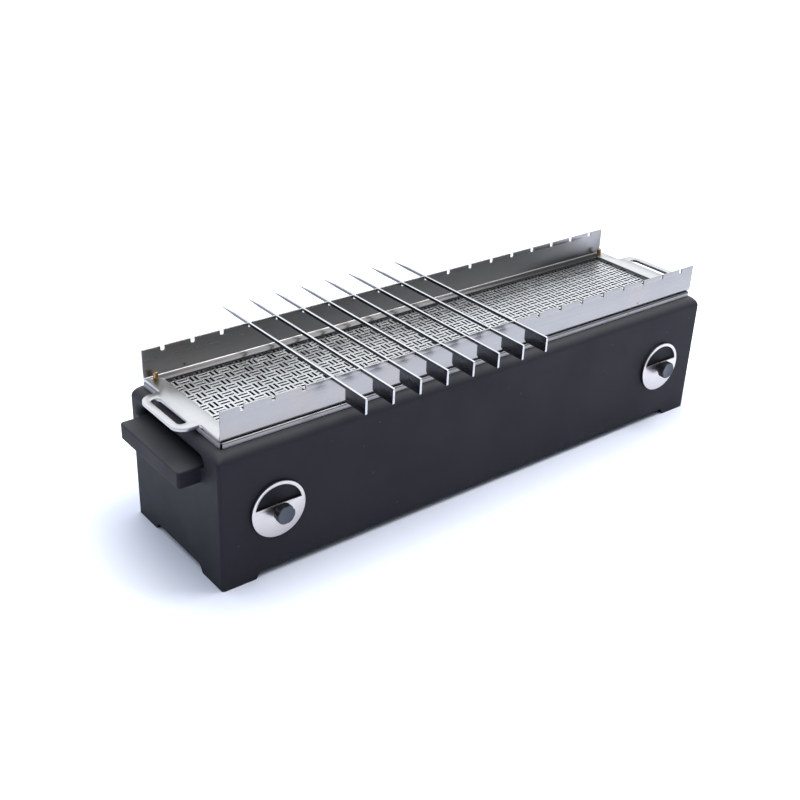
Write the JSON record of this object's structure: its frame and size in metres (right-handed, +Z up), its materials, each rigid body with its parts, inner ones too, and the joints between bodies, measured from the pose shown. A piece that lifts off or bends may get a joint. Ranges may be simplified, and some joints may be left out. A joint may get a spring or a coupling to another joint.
{
  "type": "tabletop charcoal grill",
  "caption": "Trough-shaped tabletop charcoal grill with a lift-off perforated grate, notched skewer rails, flat skewers and turning air vents.",
  "frame": {"origin": "on the table under the middle of the grill, at the centre of the outline seen from above", "axes": "+X along the grill to its right-hand end, +Y from the vented front to the back, +Z up"},
  "size_m": [0.8524, 0.312, 0.225],
  "materials": {
    "cast_black": "matt, fine-grained, heat-proof black coat",
    "liner_steel": "heat-dulled sheet",
    "grid_iron": "sooty black rods",
    "tray_steel": "dull sheet",
    "rim_steel": "satin folded sheet",
    "pin_brass": "satin turned",
    "grate_steel": "satin brushed along the length",
    "skewer_steel": "satin, ground edges",
    "disc_steel": "satin",
    "knob_black": "matt black moulded",
    "hardware_steel": "plain steel"
  },
  "bodies": {
    "grill": {"body": "cast_black", "fire_liner": "liner_steel", "charcoal_grid": "grid_iron", "ash_tray": "tray_steel", "rim": "rim_steel", "pin_1": "pin_brass", "pin_2": "pin_brass", "pin_3": "pin_brass", "pin_4": "pin_brass", "pin_nut_1": "hardware_steel", "pin_nut_2": "hardware_steel", "pin_nut_3": "hardware_steel", "pin_nut_4": "hardware_steel", "vent_stud_left": "hardware_steel", "vent_stud_right": "hardware_steel", "vent_washer_left": "hardware_steel", "vent_washer_right": "hardware_steel", "vent_nut_left": "hardware_steel", "vent_nut_right": "hardware_steel"},
    "grate": {"end_plate_left": "grate_steel", "end_plate_right": "grate_steel", "side_strip_front": "grate_steel", "side_strip_back": "grate_steel", "woven_sheet": "grate_steel", "front_rail": "grate_steel", "back_rail": "grate_steel"},
    "skewer_1": {"skewer_1": "skewer_steel"},
    "skewer_2": {"skewer_2": "skewer_steel"},
    "skewer_3": {"skewer_3": "skewer_steel"},
    "skewer_4": {"skewer_4": "skewer_steel"},
    "skewer_5": {"skewer_5": "skewer_steel"},
    "skewer_6": {"skewer_6": "skewer_steel"},
    "skewer_7": {"skewer_7": "skewer_steel"},
    "skewer_8": {"skewer_8": "skewer_steel"},
    "vent_left": {"vent_disc_left": "disc_steel", "vent_knob_left": "knob_black"},
    "vent_right": {"vent_disc_right": "disc_steel", "vent_knob_right": "knob_black"}
  },
  "joints": [
    {"name": "grate_lift", "type": "slide", "parent": "grill", "child": "grate", "axis": [0, 0, 1], "range_m": [0, 0.06]},
    {"name": "skewer_1_lift", "type": "slide", "parent": "grate", "child": "skewer_1", "axis": [0, 0, 1], "range_m": [0, 0.04]},
    {"name": "skewer_2_lift", "type": "slide", "parent": "grate", "child": "skewer_2", "axis": [0, 0, 1], "range_m": [0, 0.04]},
    {"name": "skewer_3_lift", "type": "slide", "parent": "grate", "child": "skewer_3", "axis": [0, 0, 1], "range_m": [0, 0.04]},
    {"name": "skewer_4_lift", "type": "slide", "parent": "grate", "child": "skewer_4", "axis": [0, 0, 1], "range_m": [0, 0.04]},
    {"name": "skewer_5_lift", "type": "slide", "parent": "grate", "child": "skewer_5", "axis": [0, 0, 1], "range_m": [0, 0.04]},
    {"name": "skewer_6_lift", "type": "slide", "parent": "grate", "child": "skewer_6", "axis": [0, 0, 1], "range_m": [0, 0.04]},
    {"name": "skewer_7_lift", "type": "slide", "parent": "grate", "child": "skewer_7", "axis": [0, 0, 1], "range_m": [0, 0.04]},
    {"name": "skewer_8_lift", "type": "slide", "parent": "grate", "child": "skewer_8", "axis": [0, 0, 1], "range_m": [0, 0.04]},
    {"name": "vent_left_turn", "type": "hinge", "parent": "grill", "child": "vent_left", "pos_m": [-0.325, -0.1044, 0.088], "axis": [0, 1, 0], "continuous": true},
    {"name": "vent_right_turn", "type": "hinge", "parent": "grill", "child": "vent_right", "pos_m": [0.325, -0.1044, 0.088], "axis": [0, 1, 0], "continuous": true}
  ]
}
